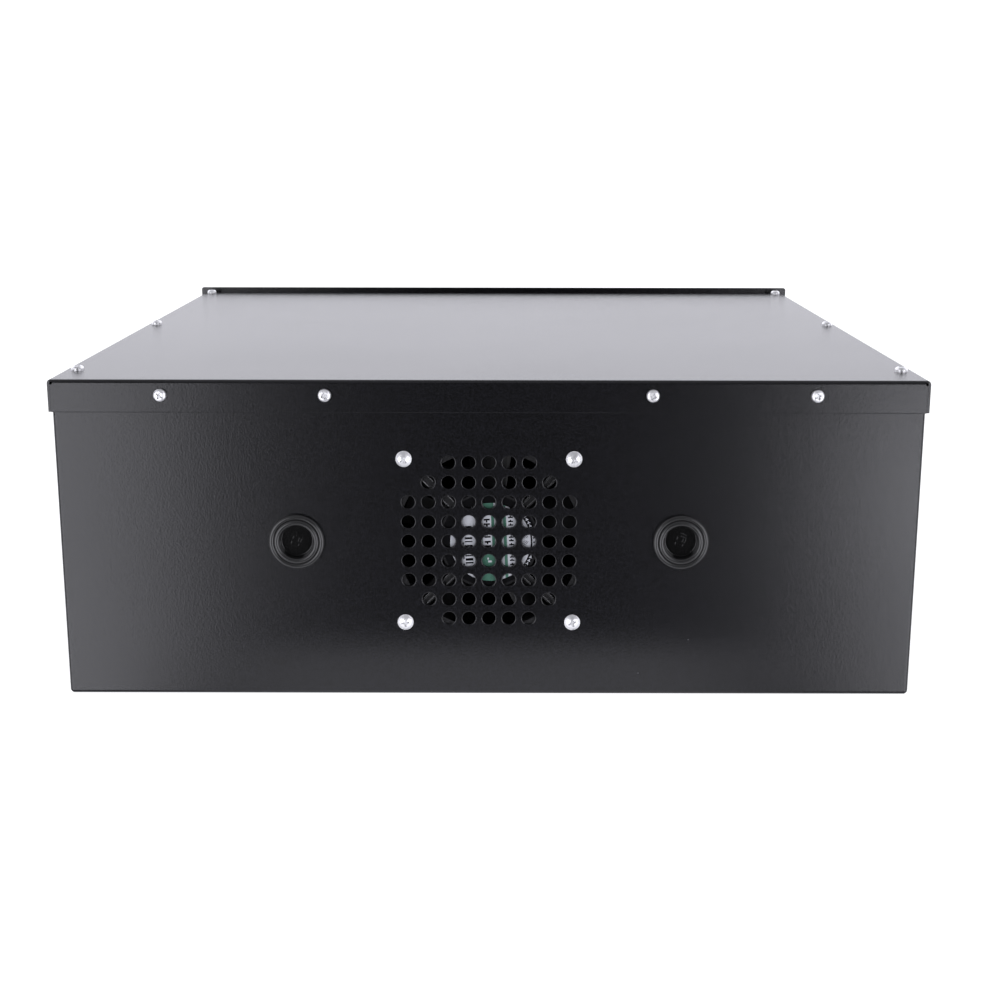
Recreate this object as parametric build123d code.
from build123d import *
import math
import os

# Lockable sheet-steel equipment box with an exhaust fan.  +Z is up, the door
# faces -Y, and the fan and the cable plugs are in the +Y wall.  The origin is
# the centre of the underside.  All sizes are in millimetres.

# ---------------------------------------------------------------- enclosure
SHEET = 1.5                    # 16-gauge steel
BEND = 2.5                     # outside radius of every bend
BODY_W = 533.4                 # 21 inches
BODY_H = 200.5                 # to the top of the lid's ledge
REAR_Y = 266.7                 # outer face of the rear wall
BODY_DEPTH = 525.0
FRONT_Y = REAR_Y - BODY_DEPTH  # outer face of the tub's front ledge
TOP_LEDGE = 15.0
FRONT_LEDGE = 12.0
CORNER_CUT = 2.6               # relief cut at the rear wall's lower corners
WALL_X = BODY_W / 2 - SHEET    # inner face of a side wall
WALL_Y = REAR_Y - SHEET        # inner face of the rear wall
EPS = 1.0                      # how far a cutter runs past a face

BASE_HOLE_R = 3.5
BASE_HOLE_PITCH = 400.0

SLOT_W = 4.0                   # air slots in the side walls
SLOT_LENGTH = 50.0
SLOT_PITCH = 11.0
SLOT_COUNT = 14
SLOT_Y = -150.0
SLOT_Z = 100.0

# ---------------------------------------------------------------- lid
LID_SIDE_GAP = 0.2             # side flange to body wall
LID_REAR_GAP = 1.2             # rear flange to body wall
LID_X = BODY_W / 2 + LID_SIDE_GAP + SHEET
LID_Y = REAR_Y + LID_REAR_GAP + SHEET
LID_TOP = BODY_H + SHEET
LID_FLANGE = 20.0
LID_BEND = 2.5
LID_EDGE = 0.7                 # rounding of the rear flange's upright edges
LID_LIP = 0.5                  # and of its lower edge
RELIEF_R = 1.0                 # relief hole at each rear corner of the bends
RELIEF_INSET = 1.1             # its centre in from the side flange
RELIEF_DROP = 2.0              # and down from the lid's top
FLANGE_SLIT = 0.3              # gap between rear flange and side flange
LID_SCREWS = ((259.2, 230.7), (260.4, -7.6), (260.4, -245.8))   # one side's
FLANGE_SCREW_XS = (-199.5, -99.7, 99.7, 199.5)
FLANGE_SCREW_Z = LID_TOP - 9.2

# ---------------------------------------------------------------- screws
M4_R = 2.0
M4_CLEAR_R = 2.25
M4_TIP = 0.4                   # chamfer at the end of the thread
M4_HEAD_R = 4.0
M4_HEAD_H = 3.1
FAN_HEAD_R = 5.0               # truss head
FAN_HEAD_H = 2.8
FAN_HEAD_RIM = 0.7
LID_SCREW_LENGTH = 6.0
FLANGE_SCREW_LENGTH = 8.0
FAN_SCREW_LENGTH = 12.0
NUT_BORE_R = 2.05
NUT_AF = 7.0
NUT_H = 3.2
WASHER_R = 3.8
WASHER_T = 1.0
WASHER_SPLIT = 0.8
CLINCH_R = 3.15
CLINCH_H = 2.5

# ---------------------------------------------------------------- front plate and door
PLATE_X = 272.0
PLATE_Z0 = 1.0
PLATE_Z1 = 206.4
PLATE_OPEN_X = 240.0
PLATE_OPEN_Z = (30.0, 182.0)
PLATE_CORNER = 2.0
PLATE_OPEN_CORNER = 3.0
PLATE_FACE = FRONT_Y - SHEET
DOOR_X = 252.5
DOOR_Z = (19.0, 192.0)
DOOR_FACE = -REAR_Y
DOOR_BACK = PLATE_FACE - 0.2   # edge of the door's return flanges

HINGE_R = 2.7
HINGE_LEAF = 1.0
HINGE_Y = PLATE_FACE - HINGE_R
HINGE_Z = 16.0
HINGE_X = 248.0
HINGE_PIN_R = 1.25
HINGE_RUNNING = 0.05
KNUCKLES = 16
KNUCKLE_GAP = 0.2
KNUCKLE_NOTCH = 3.3            # leaf cut back around the other leaf's knuckles
PLATE_LEAF_TOP = 28.0
DOOR_LEAF_TOP = 34.0

# ---------------------------------------------------------------- cam locks
LOCK_X = 180.0
LOCK_Z = 168.0
LOCK_HEAD_R = 11.0
LOCK_HEAD_H = 3.0
LOCK_HEAD_EDGE = 1.2
LOCK_BARREL_R = 9.5
LOCK_FLATS = 16.0              # across the two flats of the barrel
LOCK_END = -256.5              # rear end of the barrel
LOCK_NUT_AF = 24.0
LOCK_NUT_H = 3.0
LOCK_PLUG_R = 6.5
LOCK_PLUG_SUNK = 0.4           # plug face below the head's face
LOCK_RUNNING = 0.05
LOCK_TANG = 6.0
KEYWAY_DEPTH = 9.0
KEYWAY_X = (-0.6, 0.6)
KEYWAY_Z = (-4.4, 3.4)
KEYWAY_STEP_X = (-1.5, 0.6)
KEYWAY_STEP_Z = (-1.2, 0.0)
CAM_GAP = 0.3
CAM_T = 2.0
CAM_W = 13.0
CAM_REACH = 24.0
CAM_TAPER = 0.6                # width of the cam's free end over its hub's
CAM_WASHER_R = 5.2
CAM_WASHER_T = 0.8
CAM_SCREW_DEPTH = 8.0
CAM_SCREW_HEAD_H = 2.4

# ---------------------------------------------------------------- cable plugs
PLUG_X = 119.5
PLUG_Z = 100.5
PLUG_R = 17.3
PLUG_HOLE_R = 14.0
PLUG_FLOOR = -2.5              # heights are measured out from the rear wall
PLUG_BACK = -6.0
PLUG_BARB_R = 15.4
PLUG_BOWL_R = 10.0
PLUG_BOWL_DRAFT = 0.7          # the bowl is this much wider at its lip
PLUG_FOOT_R = 0.5              # fillet between the bowl's wall and its floor
PLUG_LIP = 2.4
PLUG_INNER_RIDGE = (12.4, 3.4)  # radius and height of each crest
PLUG_GROOVE = (14.05, 2.0)
PLUG_OUTER_RIDGE = (15.4, 2.8)
PLUG_SIDE = 0.6                # height of the straight outer side

# ---------------------------------------------------------------- fan
FAN_Z = 100.5
FAN_SIZE = 119.0
FAN_DEPTH = 38.0
FAN_HOLE_PITCH = 104.8
FAN_BORE_R = 57.0
FAN_BARREL_R = 59.2
FAN_FLANGE_T = 4.5
FAN_BASE_R = 31.0
FAN_BASE = (1.0, 4.0)          # depths behind the rear wall's inner face
LABEL_R = 29.5
LABEL_T = 0.3
STRUT_W = 5.4
WIRE_STRUT_W = 7.4
TUBE_R = 8.5
BEARING_R = 6.5
BEARING_W = 4.0
SHAFT_R = 2.5
SHAFT_RUNNING = 0.05
BEARING_GROOVE = (3.9, 5.2, 0.4)  # radii and depth
STACK = (10.0, 20.0)
CORE_R = 13.0
STATOR_R = 24.0
SHOE_T = 2.5
SHOE_GAP = 2.4
POLES = 8
TOOTH_W = 5.0
INSULATOR_T = 0.8
COIL_T = 2.0
COIL_RADII = (14.5, 20.0)
AIR_GAP = 0.4
ROTOR_RING_R = 26.4
CUP_R = 27.4
HUB_R = 30.0
HUB_DEPTHS = (7.0, 30.0, 32.0)  # open end, inside and outside of its back
HUB_HOLE_R = 6.0
HUB_EDGE = 1.4
BLADES = 5
BLADE_TIP_R = 55.6
BLADE_MID = 20.5
BLADE_DEPTHS = (7.5, 34.0)
BLADE_T = 2.6
BLADE_SECTIONS = (             # radius, stagger angle, chord
    (HUB_R - 2.5, 42, 29),
    (44.0, 50, 33),
    (BLADE_TIP_R + 3, 57, 37),
)
TUBE_END = 26.5
CLIP_R = 4.4
CLIP_DEPTHS = (5.2, 5.8)
CLIP_GROOVE_R = 2.0
CLIP_MOUTH = 3.4
THRUST_R = 4.6
THRUST_T = 0.5
CUP_BOSS_R = 5.0
CUP_BACK = (28.0, 30.0)

TERMINAL_W = 16.0
TERMINAL_DEPTHS = (14.0, 28.0)
TERMINAL_R = 67.0
TAB_X = 4.0
TAB_W = 2.8
TAB_DEPTHS = (20.75, 21.25)
TAB_R = 74.0
LEAD_X = 1.2
LEAD_R = 0.7
LEAD_DEPTH = 5.6
LEAD_RADII = (24.0, 62.5)
WIRE_SLOT_W = 6.0
WIRE_SLOT_DEPTH = 7.0

VENT_PITCH = 12.5
VENT_HOLE_R = 4.1
VENT_EDGE = 0.6                # rolled edge of each punched hole
VENT_ROWS = (5, 7, 9, 9, 9, 9, 9, 7, 5)


# ---------------------------------------------------------------- helpers
def block(x, y, z):
    """Box between two values on each axis."""
    centre = Pos((x[0] + x[1]) / 2, (y[0] + y[1]) / 2, (z[0] + z[1]) / 2)
    return centre * Box(x[1] - x[0], y[1] - y[0], z[1] - z[0])


def rod_y(radius, y0, y1, x=0.0, z=0.0):
    """Cylinder along Y between y0 and y1."""
    return Pos(x, (y0 + y1) / 2, z) * Rot(90, 0, 0) * Cylinder(radius, abs(y1 - y0))


def rod_z(radius, z0, z1, x=0.0, y=0.0):
    """Cylinder along Z between z0 and z1."""
    return Pos(x, y, (z0 + z1) / 2) * Cylinder(radius, abs(z1 - z0))


def group(solids):
    """Separate solids kept together in one node."""
    return Compound(children=[copy for shape in solids for copy in shape.solids()])


def save(shape, node):
    export_step(shape, f"parts/{node}.step")


def fan_y(depth):
    """Y of a depth behind the rear wall's inner face."""
    return WALL_Y - depth


def fan_ring(outer, inner, d0, d1):
    """Ring about the fan's axis between two depths."""
    ring = rod_y(outer, fan_y(d0), fan_y(d1), z=FAN_Z)
    return ring - rod_y(inner, fan_y(d0) + EPS, fan_y(d1) - EPS, z=FAN_Z)


def around_fan(shape, angle):
    """Turn a shape about the fan's axis."""
    return Pos(0, 0, FAN_Z) * Rot(0, angle, 0) * Pos(0, 0, -FAN_Z) * shape


def fan_corners():
    half = FAN_HOLE_PITCH / 2
    return [(x, FAN_Z + z) for x in (-half, half) for z in (-half, half)]


# ---------------------------------------------------------------- fasteners
def cross_recess(top, size, depth):
    """Cross recess cut down from a screw head's top."""
    arm = block((-size / 2, size / 2), (-size / 8, size / 8), (top - depth, top + EPS))
    cone = Pos(0, 0, top - depth * 0.6) * Cone(0.1, size / 3.2, depth * 1.3)
    return arm + Rot(0, 0, 90) * arm + cone


def shank(length):
    rod = rod_z(M4_R, -length, 0)
    return chamfer(rod.edges().group_by(Axis.Z)[0], M4_TIP)


def pan_screw(head_r, head_h, length):
    """Screw along Z: the head stands on z = 0, the shank goes down."""
    head = rod_z(head_r, 0, head_h)
    head = fillet(head.edges().group_by(Axis.Z)[-1], head_h * 0.62)
    head -= cross_recess(head_h, head_r * 1.15, head_h * 0.6)
    return head + shank(length)


def truss_screw(head_r, head_h, length):
    """The same, with a wide low dome."""
    dome_r = (head_r ** 2 + head_h ** 2) / (2 * head_h) + 0.6
    dome = Pos(0, 0, head_h - dome_r) * Sphere(dome_r)
    head = rod_z(head_r, 0, head_h) & dome
    head += rod_z(head_r, 0, FAN_HEAD_RIM)
    head -= cross_recess(head_h, head_r * 1.05, head_h * 0.6)
    return head + shank(length)


def hex_nut(across_flats, height, bore):
    nut = extrude(RegularPolygon(across_flats / math.sqrt(3), 6), height)
    crown_r = across_flats / 2 * 1.12
    nut &= fillet(rod_z(crown_r, 0, height).edges(), height * 0.2)
    return nut - rod_z(bore, -EPS, height + EPS)


# ---------------------------------------------------------------- sheet metal
def folded_shell():
    """Closed sheet box with rounded bends, before its openings are cut."""
    half = BODY_W / 2
    outer = block((-half, half), (FRONT_Y, REAR_Y), (0, BODY_H))
    inner = block((-WALL_X, WALL_X), (FRONT_Y + SHEET, WALL_Y), (SHEET, BODY_H - SHEET))
    return fillet(outer.edges(), BEND) - fillet(inner.edges(), BEND - SHEET)


def vent_holes():
    cutter = []
    middle = (len(VENT_ROWS) - 1) / 2
    for row, count in enumerate(VENT_ROWS):
        z = FAN_Z + (middle - row) * VENT_PITCH
        for column in range(count):
            x = (column - (count - 1) / 2) * VENT_PITCH
            cutter.append(rod_y(VENT_HOLE_R, WALL_Y - EPS, REAR_Y + EPS, x, z))
    return cutter


def rounded_slot(side, y):
    """Vertical slot through one side wall."""
    reach = SLOT_LENGTH / 2 - SLOT_W / 2
    walls = sorted((side * (WALL_X - EPS), side * (BODY_W / 2 + EPS)))
    cutter = block(walls, (y - SLOT_W / 2, y + SLOT_W / 2), (SLOT_Z - reach, SLOT_Z + reach))
    for z in (SLOT_Z - reach, SLOT_Z + reach):
        end = Rot(0, 90, 0) * Cylinder(SLOT_W / 2, walls[1] - walls[0])
        cutter += Pos(sum(walls) / 2, y, z) * end
    return cutter


def body_shell():
    shell = folded_shell()
    ledge_x = BODY_W / 2 - TOP_LEDGE
    top = (BODY_H - 3 * SHEET, BODY_H + EPS)
    shell -= block((-ledge_x, ledge_x), (FRONT_Y - EPS, REAR_Y - TOP_LEDGE), top)
    side_x = BODY_W / 2 - FRONT_LEDGE
    front = (FRONT_Y - EPS, FRONT_Y + 3 * SHEET)
    shell -= block((-side_x, side_x), front, (FRONT_LEDGE, BODY_H + EPS))
    shell = shell - vent_holes()
    rims = shell.edges().filter_by(GeomType.CIRCLE)
    rims = rims.filter_by(lambda e: abs(e.center().Y - REAR_Y) < 0.01 and e.radius == VENT_HOLE_R)
    shell = fillet(rims, VENT_EDGE)
    cutters = [rod_y(M4_CLEAR_R, WALL_Y - EPS, REAR_Y + EPS, x, z) for x, z in fan_corners()]
    for x in FLANGE_SCREW_XS:
        cutters.append(rod_y(M4_CLEAR_R, WALL_Y - EPS, REAR_Y + EPS, x, FLANGE_SCREW_Z))
    for side in (-1, 1):
        cutters.append(rod_y(PLUG_HOLE_R, WALL_Y - EPS, REAR_Y + EPS, side * PLUG_X, PLUG_Z))
        for x, y in LID_SCREWS:
            cutters.append(rod_z(M4_CLEAR_R, BODY_H - 2 * SHEET, BODY_H + EPS, side * x, y))
        for index in range(SLOT_COUNT):
            cutters.append(rounded_slot(side, SLOT_Y + index * SLOT_PITCH))
        for y in (-1, 1):
            spot = (side * BASE_HOLE_PITCH / 2, y * BASE_HOLE_PITCH / 2)
            cutters.append(rod_z(BASE_HOLE_R, -EPS, SHEET + EPS, *spot))
        corner = Pos(side * BODY_W / 2, REAR_Y, 0) * Rot(0, 45, 0)
        cutters.append(corner * Box(CORNER_CUT * math.sqrt(2), 8, CORNER_CUT * math.sqrt(2)))
    return shell - cutters


def top_cover():
    """Flat lid with a flange at each side and one at the rear."""
    inside_x = LID_X - SHEET
    inside_y = LID_Y - SHEET
    drop = (LID_TOP - LID_FLANGE, LID_TOP)
    under = (LID_TOP - LID_FLANGE - EPS, LID_TOP - SHEET)
    channel = block((-LID_X, LID_X), (FRONT_Y, inside_y), drop)
    channel = fillet(channel.edges().filter_by(Axis.Y).group_by(Axis.Z)[-1], LID_BEND)
    hollow = block((-inside_x, inside_x), (FRONT_Y - EPS, LID_Y + EPS), under)
    hollow = fillet(hollow.edges().filter_by(Axis.Y).group_by(Axis.Z)[-1], LID_BEND - SHEET)
    across = block((-LID_X, LID_X), (FRONT_Y, LID_Y), drop)
    across = fillet(across.edges().filter_by(Axis.X).group_by(Axis.Y)[-1].group_by(Axis.Z)[-1], LID_BEND)
    lid = (channel - hollow) & across
    apron_x = inside_x - FLANGE_SLIT
    apron = block((-apron_x, apron_x), (inside_y - 4, LID_Y), drop)
    apron = fillet(apron.edges().filter_by(Axis.Z).group_by(Axis.Y)[-1], LID_EDGE)
    apron = fillet(apron.edges().group_by(Axis.Z)[0].group_by(Axis.Y)[-1], LID_LIP) & across
    apron_hollow = block((-LID_X, LID_X), (FRONT_Y, inside_y), under)
    apron_edge = apron_hollow.edges().filter_by(Axis.X).group_by(Axis.Y)[-1].group_by(Axis.Z)[-1]
    lid += apron - fillet(apron_edge, LID_BEND - SHEET)
    cutters = []
    for side in (-1, 1):
        relief_x = side * (inside_x - RELIEF_INSET)
        cutters.append(rod_y(RELIEF_R, inside_y - EPS, LID_Y + EPS, relief_x, LID_TOP - RELIEF_DROP))
        for x, y in LID_SCREWS:
            cutters.append(rod_z(M4_CLEAR_R, under[1] - EPS, LID_TOP + EPS, side * x, y))
    for x in FLANGE_SCREW_XS:
        cutters.append(rod_y(M4_CLEAR_R, inside_y - EPS, LID_Y + EPS, x, FLANGE_SCREW_Z))
    return lid - cutters


def front_plate():
    plate = block((-PLATE_X, PLATE_X), (PLATE_FACE, FRONT_Y), (PLATE_Z0, PLATE_Z1))
    plate = fillet(plate.edges().filter_by(Axis.Y), PLATE_CORNER)
    opening = block((-PLATE_OPEN_X, PLATE_OPEN_X), (PLATE_FACE - EPS, FRONT_Y + EPS), PLATE_OPEN_Z)
    return plate - fillet(opening.edges().filter_by(Axis.Y), PLATE_OPEN_CORNER)


def lock_barrel(clearance, y0, y1, x):
    """Barrel with two flats, or the hole that it goes through."""
    half = LOCK_FLATS / 2 + clearance
    flats = block((x - 20, x + 20), sorted((y0, y1)), (LOCK_Z - half, LOCK_Z + half))
    return rod_y(LOCK_BARREL_R + clearance, y0, y1, x, LOCK_Z) & flats


def pan_bends(pan):
    """The bend at each side and the one along the top."""
    bends = pan.edges().filter_by(Axis.Z).group_by(Axis.Y)[0]
    return bends + pan.edges().filter_by(Axis.X).group_by(Axis.Z)[-1].group_by(Axis.Y)[0]


def door():
    """Overlay door: a shallow pan that is open along its hinge edge."""
    outside = block((-DOOR_X, DOOR_X), (DOOR_FACE, DOOR_BACK), DOOR_Z)
    half = DOOR_X - SHEET
    inside = block((-half, half), (DOOR_FACE + SHEET, DOOR_BACK + EPS), (DOOR_Z[0] - EPS, DOOR_Z[1] - SHEET))
    pan = fillet(pan_bends(outside), BEND) - fillet(pan_bends(inside), BEND - SHEET)
    for side in (-1, 1):
        pan -= lock_barrel(0.1, DOOR_FACE - EPS, DOOR_FACE + SHEET + EPS, side * LOCK_X)
    return pan


# ---------------------------------------------------------------- hinge
def knuckle_spans(first):
    """X spans of every second knuckle, starting at the first or second."""
    pitch = 2 * HINGE_X / KNUCKLES
    starts = [-HINGE_X + pitch * index for index in range(first, KNUCKLES, 2)]
    return [(x + KNUCKLE_GAP / 2, x + pitch - KNUCKLE_GAP / 2) for x in starts]


def rod_x(radius, span):
    centre = Pos(sum(span) / 2, HINGE_Y, HINGE_Z)
    return centre * Rot(0, 90, 0) * Cylinder(radius, span[1] - span[0])


def hinge_leaf(first, leaf_y, top, bore):
    """Leaf with its own knuckles, notched round the other leaf's."""
    leaf = block((-HINGE_X, HINGE_X), leaf_y, (HINGE_Z, top))
    notch_z = (HINGE_Z - EPS, HINGE_Z + KNUCKLE_NOTCH)
    for span in knuckle_spans(1 - first):
        wide = (span[0] - KNUCKLE_GAP, span[1] + KNUCKLE_GAP)
        leaf -= block(wide, (leaf_y[0] - EPS, leaf_y[1] + EPS), notch_z)
    for span in knuckle_spans(first):
        leaf += rod_x(HINGE_R, span)
    return leaf - rod_x(bore, (-HINGE_X - EPS, HINGE_X + EPS))


def hinge_parts():
    plate_y = (HINGE_Y + HINGE_R - HINGE_LEAF, HINGE_Y + HINGE_R)
    door_y = (HINGE_Y - HINGE_R, HINGE_Y - HINGE_R + HINGE_LEAF)
    save(hinge_leaf(0, plate_y, PLATE_LEAF_TOP, HINGE_PIN_R), "hinge_plate_leaf")
    save(hinge_leaf(1, door_y, DOOR_LEAF_TOP, HINGE_PIN_R + HINGE_RUNNING), "hinge_door_leaf")
    save(rod_x(HINGE_PIN_R, (-HINGE_X, HINGE_X)), "hinge_pin")


# ---------------------------------------------------------------- cam locks
def lock_plug(x, plug_face, tang_end):
    """Turning plug: a keyway in its face and a square tang behind."""
    plug = rod_y(LOCK_PLUG_R, plug_face, LOCK_END, x, LOCK_Z)
    half = LOCK_TANG / 2
    plug += block((x - half, x + half), (LOCK_END, tang_end), (LOCK_Z - half, LOCK_Z + half))
    key_depth = (plug_face - EPS, plug_face + KEYWAY_DEPTH)
    for key_x, key_z in ((KEYWAY_X, KEYWAY_Z), (KEYWAY_STEP_X, KEYWAY_STEP_Z)):
        spot = [x + edge for edge in key_x]
        plug -= block(spot, key_depth, [LOCK_Z + edge for edge in key_z])
    thread = CAM_SCREW_DEPTH - CAM_WASHER_T
    return plug - rod_y(M4_R, tang_end - thread, tang_end + EPS, x, LOCK_Z)


def lock_cam(x, cam_y):
    """Flat cam with a square hole, reaching out towards +X."""
    end_r = CAM_W / 2
    tip_r = end_r * CAM_TAPER
    reach = CAM_REACH - tip_r
    cam = rod_y(end_r, *cam_y, x, LOCK_Z) + rod_y(tip_r, *cam_y, x + reach, LOCK_Z)
    cam += block((x, x + reach), cam_y, (LOCK_Z - tip_r, LOCK_Z + tip_r))
    hole = LOCK_TANG / 2 + LOCK_RUNNING
    past = (cam_y[0] - EPS, cam_y[1] + EPS)
    return cam - block((x - hole, x + hole), past, (LOCK_Z - hole, LOCK_Z + hole))


def lock_parts(side, name):
    """One cam lock; the cam lies level here and turns up to lock."""
    x = side * LOCK_X
    cam_y = (LOCK_END + CAM_GAP, LOCK_END + CAM_GAP + CAM_T)
    washer_y = (cam_y[1], cam_y[1] + CAM_WASHER_T)
    face = DOOR_FACE - LOCK_HEAD_H

    head = rod_y(LOCK_HEAD_R, face, DOOR_FACE, x, LOCK_Z)
    head = fillet(head.edges().group_by(Axis.Y)[0], LOCK_HEAD_EDGE)
    housing = head + lock_barrel(0, DOOR_FACE, LOCK_END, x)
    housing -= rod_y(LOCK_PLUG_R + LOCK_RUNNING, face - EPS, LOCK_END + EPS, x, LOCK_Z)
    save(housing, f"lock_housing_{name}")

    nut = hex_nut(LOCK_NUT_AF, LOCK_NUT_H, LOCK_BARREL_R + LOCK_RUNNING)
    save(Pos(x, DOOR_FACE + SHEET, LOCK_Z) * Rot(-90, 0, 0) * nut, f"lock_nut_{name}")
    save(lock_plug(x, face + LOCK_PLUG_SUNK, cam_y[1]), f"lock_plug_{name}")
    save(lock_cam(x, cam_y), f"lock_cam_{name}")

    washer = rod_y(CAM_WASHER_R, *washer_y, x, LOCK_Z)
    washer -= rod_y(M4_R + 0.1, washer_y[0] - EPS, washer_y[1] + EPS, x, LOCK_Z)
    save(washer, f"lock_washer_{name}")
    screw = pan_screw(M4_HEAD_R, CAM_SCREW_HEAD_H, CAM_SCREW_DEPTH)
    save(Pos(x, washer_y[1], LOCK_Z) * Rot(-90, 0, 0) * screw, f"lock_cam_screw_{name}")


# ---------------------------------------------------------------- cable plugs
def cable_plug(x):
    """Blind rubber plug: two ridges round a bowl outside, and a barb inside."""
    floor_end = (PLUG_BOWL_R - PLUG_FOOT_R, PLUG_FLOOR)
    foot_reach = PLUG_FOOT_R * math.sin(math.radians(45))
    foot_mid = (floor_end[0] + foot_reach, PLUG_FLOOR + PLUG_FOOT_R - foot_reach)
    foot_top = (PLUG_BOWL_R, PLUG_FLOOR + PLUG_FOOT_R)
    lip = (PLUG_BOWL_R + PLUG_BOWL_DRAFT, PLUG_LIP)
    shoulder = (PLUG_R, PLUG_SIDE)
    rim = (PLUG_R, 0)
    barb = (PLUG_BARB_R, -SHEET - 0.2)
    taper = (PLUG_BARB_R - 2.6, PLUG_BACK + 0.8)
    taper_mid = (PLUG_BARB_R - 3.1, PLUG_BACK + 0.2)
    back = (PLUG_BARB_R - 3.9, PLUG_BACK)

    outline = Line((0, PLUG_FLOOR), floor_end)
    outline += ThreePointArc(floor_end, foot_mid, foot_top)
    outline += Line(foot_top, lip)
    outline += ThreePointArc(lip, PLUG_INNER_RIDGE, PLUG_GROOVE)
    outline += ThreePointArc(PLUG_GROOVE, PLUG_OUTER_RIDGE, shoulder)
    outline += Polyline(shoulder, rim, (PLUG_HOLE_R, 0), (PLUG_HOLE_R, -SHEET), barb, taper)
    outline += ThreePointArc(taper, taper_mid, back)
    outline += Polyline(back, (0, PLUG_BACK), (0, PLUG_FLOOR))
    return Pos(x, REAR_Y, PLUG_Z) * revolve(make_face(outline), Axis.Y)


# ---------------------------------------------------------------- fan stator side
def fan_frame():
    """Die-cast frame: two square flanges, a round barrel, struts and base."""
    half = FAN_SIZE / 2
    frame = Part()
    for d0, d1 in ((0, FAN_FLANGE_T), (FAN_DEPTH - FAN_FLANGE_T, FAN_DEPTH)):
        flange = block((-half, half), (fan_y(d1), fan_y(d0)), (FAN_Z - half, FAN_Z + half))
        frame += fillet(flange.edges().filter_by(Axis.Y), 5.0)
    frame += rod_y(FAN_BARREL_R, fan_y(0), fan_y(FAN_DEPTH), z=FAN_Z)
    frame -= rod_y(FAN_BORE_R, fan_y(0) + EPS, fan_y(FAN_DEPTH) - EPS, z=FAN_Z)
    frame += rod_y(FAN_BASE_R, fan_y(FAN_BASE[0]), fan_y(FAN_BASE[1]), z=FAN_Z)
    for index in range(4):
        strut = wire_strut() if index == 0 else fan_strut()
        frame += around_fan(strut, 45 + 90 * index)
    for x, z in fan_corners():
        frame -= rod_y(M4_CLEAR_R, fan_y(0) + EPS, fan_y(FAN_DEPTH) - EPS, x, z)
    slot_y = (fan_y(WIRE_SLOT_DEPTH), fan_y(FAN_FLANGE_T))
    slot_z = (FAN_Z - WIRE_SLOT_W / 2, FAN_Z + WIRE_SLOT_W / 2)
    wire_slot = block((FAN_BORE_R - 2, FAN_BARREL_R + 2), slot_y, slot_z)
    return frame - around_fan(wire_slot, -45)


def strut_bar(half, d0, d1, offset=0.0):
    """Bar along +Z from the base to the barrel."""
    span = (FAN_Z + FAN_BASE_R - 1, FAN_Z + FAN_BORE_R + 1)
    return block((offset - half, offset + half), (fan_y(d1), fan_y(d0)), span)


def fan_strut():
    """Strut with two raised ridges and a groove between them."""
    ridge = 0.8
    strut = strut_bar(STRUT_W / 2, FAN_BASE[0] + 1.2, FAN_BASE[1])
    for side in (-1, 1):
        bar = strut_bar(ridge, FAN_BASE[0], FAN_BASE[0] + 1.2, side * (STRUT_W / 2 - ridge))
        strut += fillet(bar.edges().filter_by(Axis.Z).group_by(Axis.Y)[-1], 0.5)
    return strut


def wire_strut():
    """Wider strut with a smooth rounded face; the leads run behind it."""
    bar = strut_bar(WIRE_STRUT_W / 2, FAN_BASE[0] - 0.4, FAN_BASE[1])
    return fillet(bar.edges().filter_by(Axis.Z).group_by(Axis.Y)[-1], 2.2)


def stator_tooth_z(start, end):
    return (FAN_Z + start, FAN_Z + end)


def stator_core():
    """Laminated core: a hub, a tooth for each pole and its shoe."""
    stack_y = (fan_y(STACK[1]), fan_y(STACK[0]))
    past = (stack_y[0] - EPS, stack_y[1] + EPS)
    shoe_r = STATOR_R - SHOE_T
    core = fan_ring(CORE_R, TUBE_R, *STACK)
    shoes = fan_ring(STATOR_R, shoe_r, *STACK)
    tooth = block((-TOOTH_W / 2, TOOTH_W / 2), stack_y, stator_tooth_z(CORE_R - 0.5, shoe_r + 1))
    gap = block((-SHOE_GAP / 2, SHOE_GAP / 2), past, stator_tooth_z(shoe_r - EPS, STATOR_R + EPS))
    for index in range(POLES):
        core += around_fan(tooth, 360 / POLES * index)
        shoes -= around_fan(gap, 360 / POLES * (index + 0.5))
    return core + shoes


def stator_insulators():
    """Star-shaped insulator on each end of the core."""
    depths = (STACK[0] - INSULATOR_T, STACK[0])
    near = fan_ring(CORE_R + 0.5, TUBE_R, *depths)
    half = TOOTH_W / 2
    arm_y = (fan_y(depths[1]), fan_y(depths[0]))
    arm = block((-half, half), arm_y, stator_tooth_z(CORE_R, STATOR_R - SHOE_T - 0.5))
    for index in range(POLES):
        near += around_fan(arm, 360 / POLES * index)
    far = Pos(0, -(STACK[1] - STACK[0]) - INSULATOR_T, 0) * near
    return group([near, far])


def stator_windings():
    """One coil round each tooth and its insulators."""
    half = TOOTH_W / 2
    span = (fan_y(STACK[1] + INSULATOR_T), fan_y(STACK[0] - INSULATOR_T))
    outside = half + COIL_T
    around = (span[0] - COIL_T, span[1] + COIL_T)
    coil = block((-outside, outside), around, stator_tooth_z(*COIL_RADII))
    coil = fillet(coil.edges().filter_by(Axis.Z), COIL_T * 0.8)
    coil -= block((-half, half), span, stator_tooth_z(COIL_RADII[0] - EPS, COIL_RADII[1] + EPS))
    return group([around_fan(coil, 360 / POLES * index) for index in range(POLES)])


def bearing(d0):
    """Ball bearing as one piece, with a groove at each face."""
    ring = fan_ring(BEARING_R, SHAFT_R + SHAFT_RUNNING, d0, d0 + BEARING_W)
    inner, outer, depth = BEARING_GROOVE
    for start in (d0, d0 + BEARING_W - depth):
        ring -= fan_ring(outer, inner, start - 0.001, start + depth + 0.001)
    return ring


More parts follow.
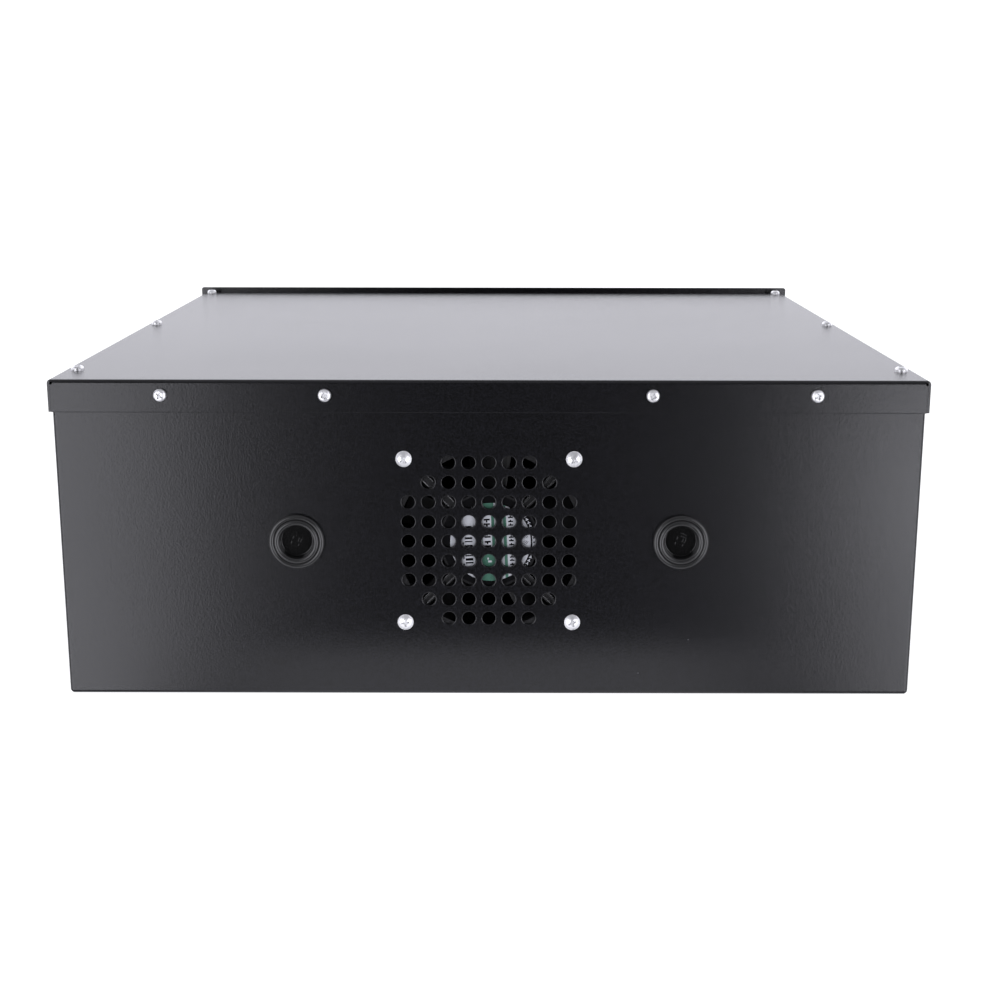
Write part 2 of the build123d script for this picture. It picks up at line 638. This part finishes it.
def terminal_parts():
    """Terminal block on the barrel's outside, its tabs, and the two leads."""
    depths = (fan_y(TERMINAL_DEPTHS[1]), fan_y(TERMINAL_DEPTHS[0]))
    half = TERMINAL_W / 2
    housing = block((-half, half), depths, (FAN_Z + FAN_BARREL_R - 3, FAN_Z + TERMINAL_R))
    housing = fillet(housing.edges().group_by(Axis.Z)[-1], 1.0)
    housing -= rod_y(FAN_BARREL_R, depths[0] - EPS, depths[1] + EPS, z=FAN_Z)
    tab_y = (fan_y(TAB_DEPTHS[1]), fan_y(TAB_DEPTHS[0]))
    tab_z = (FAN_Z + TERMINAL_R, FAN_Z + TAB_R)
    tabs = []
    leads = []
    for side in (-1, 1):
        centre = side * TAB_X
        tab = block((centre - TAB_W / 2, centre + TAB_W / 2), tab_y, tab_z)
        tabs.append(around_fan(tab, 45))
        x = side * LEAD_X
        start, end = [(x, fan_y(LEAD_DEPTH), FAN_Z + radius) for radius in LEAD_RADII]
        route = FilletPolyline(start, end, (x, depths[1], end[2]), radius=2.5)
        section = Plane(origin=route @ 0, z_dir=route % 0) * Circle(LEAD_R)
        leads.append(around_fan(sweep(section, path=route), 45))
    return around_fan(housing, 45), group(tabs), group(leads)


# ---------------------------------------------------------------- fan rotor side
def fan_blade():
    """One twisted blade from the hub to its tip."""
    sections = []
    for radius, stagger, chord in BLADE_SECTIONS:
        origin = (0, fan_y(BLADE_MID), FAN_Z + radius)
        plane = Plane(origin=origin, x_dir=(1, 0, 0), z_dir=(0, 0, 1))
        sections.append(plane * Rot(0, 0, stagger - 90) * Ellipse(chord / 2, BLADE_T / 2))
    return loft(sections) & fan_ring(BLADE_TIP_R, HUB_R - 1.5, *BLADE_DEPTHS)


def fan_impeller():
    mouth, inside, back = HUB_DEPTHS
    hub = fan_ring(HUB_R, CUP_R, mouth, inside)
    hub += fan_ring(HUB_R, HUB_HOLE_R, inside, back)
    rims = hub.edges().filter_by(GeomType.CIRCLE).group_by(Axis.Y)[0]
    hub = fillet(rims.sort_by(SortBy.RADIUS)[-1], HUB_EDGE)
    blade = fan_blade()
    for index in range(BLADES):
        hub += around_fan(blade, 360 / BLADES * index)
    return hub


def rotor_parts():
    save(fan_impeller(), "fan_impeller")
    thrust = (CUP_BACK[0] - 0.9 - THRUST_T, CUP_BACK[0] - 0.9)
    cup = fan_ring(CUP_R, ROTOR_RING_R, HUB_DEPTHS[0] + 1, CUP_BACK[0])
    cup += fan_ring(CUP_R, SHAFT_R, *CUP_BACK)
    cup += fan_ring(CUP_BOSS_R, SHAFT_R, thrust[1], CUP_BACK[0])
    save(cup, "fan_rotor_cup")
    save(fan_ring(THRUST_R, SHAFT_R, *thrust), "fan_thrust_washer")
    save(fan_ring(ROTOR_RING_R, STATOR_R + AIR_GAP, STACK[0] - 1, STACK[1] + 1), "fan_rotor_ring")
    shaft = rod_y(SHAFT_R, fan_y(4.6), fan_y(CUP_BACK[1]), z=FAN_Z)
    save(shaft - fan_ring(SHAFT_R + EPS, CLIP_GROOVE_R, *CLIP_DEPTHS), "fan_shaft")
    clip = fan_ring(CLIP_R, CLIP_GROOVE_R, *CLIP_DEPTHS)
    past = (fan_y(CLIP_DEPTHS[1] + 0.2), fan_y(CLIP_DEPTHS[0] - 0.2))
    clip -= block((-CLIP_MOUTH / 2, CLIP_MOUTH / 2), past, (FAN_Z - CLIP_R - EPS, FAN_Z))
    save(clip, "fan_retaining_clip")


def fan_parts():
    save(fan_frame(), "fan_frame")
    label_back = fan_y(FAN_BASE[0])
    save(rod_y(LABEL_R, label_back, label_back + LABEL_T, z=FAN_Z), "fan_label")
    save(fan_ring(TUBE_R, BEARING_R, FAN_BASE[1], TUBE_END), "fan_bearing_tube")
    save(stator_core(), "fan_stator_core")
    save(stator_windings(), "fan_windings")
    save(stator_insulators(), "fan_insulators")
    save(bearing(6.5), "fan_bearing_outer")
    save(bearing(TUBE_END - BEARING_W), "fan_bearing_inner")
    block_part, tabs, leads = terminal_parts()
    save(block_part, "fan_terminal_block")
    save(tabs, "fan_terminal_tabs")
    save(leads, "fan_lead_wires")
    rotor_parts()


def fan_fasteners():
    screw = truss_screw(FAN_HEAD_R, FAN_HEAD_H, FAN_SCREW_LENGTH)
    past = (-EPS, WASHER_T + EPS)
    washer = rod_z(WASHER_R, 0, WASHER_T) - rod_z(NUT_BORE_R, *past)
    washer -= block((0, WASHER_R + EPS), (-WASHER_SPLIT / 2, WASHER_SPLIT / 2), past)
    nut = hex_nut(NUT_AF, NUT_H, NUT_BORE_R)
    outward = Rot(-90, 0, 0)
    inward = Rot(90, 0, 0)
    screws = []
    washers = []
    nuts = []
    for index, (x, z) in enumerate(fan_corners()):
        turn = Rot(0, 0, 20 + 37 * index)
        screws.append(Pos(x, REAR_Y, z) * outward * turn * screw)
        washers.append(Pos(x, fan_y(FAN_FLANGE_T), z) * inward * turn * washer)
        nuts.append(Pos(x, fan_y(FAN_FLANGE_T + WASHER_T), z) * inward * turn * nut)
    save(group(screws), "fan_screws")
    save(group(washers), "fan_lock_washers")
    save(group(nuts), "fan_nuts")


def lid_fasteners():
    clinch = rod_z(CLINCH_R, -CLINCH_H, 0) - rod_z(NUT_BORE_R, -CLINCH_H - EPS, EPS)
    top_screw = pan_screw(M4_HEAD_R, M4_HEAD_H, LID_SCREW_LENGTH)
    rear_screw = pan_screw(M4_HEAD_R, M4_HEAD_H, FLANGE_SCREW_LENGTH)
    outward = Rot(-90, 0, 0)
    top = [(side * x, y) for side in (-1, 1) for x, y in LID_SCREWS]
    turns = [Rot(0, 0, 25 + 41 * index) for index in range(len(top))]
    heads = [Pos(x, y, LID_TOP) * turn * top_screw for (x, y), turn in zip(top, turns)]
    save(group(heads), "top_cover_screws")
    save(group([Pos(x, y, BODY_H - SHEET) * clinch for x, y in top]), "top_clinch_nuts")
    spots = [Pos(x, LID_Y, FLANGE_SCREW_Z) * outward for x in FLANGE_SCREW_XS]
    save(group([spot * turn * rear_screw for spot, turn in zip(spots, turns)]), "rear_flange_screws")
    backs = [Pos(x, WALL_Y, FLANGE_SCREW_Z) * outward for x in FLANGE_SCREW_XS]
    save(group([spot * clinch for spot in backs]), "rear_clinch_nuts")


os.makedirs("parts", exist_ok=True)
save(body_shell(), "body_shell")
save(top_cover(), "top_cover")
save(front_plate(), "front_plate")
save(door(), "door")
save(cable_plug(-PLUG_X), "cable_plug_left")
save(cable_plug(PLUG_X), "cable_plug_right")
hinge_parts()
lock_parts(-1, "left")
lock_parts(1, "right")
fan_parts()
fan_fasteners()
lid_fasteners()
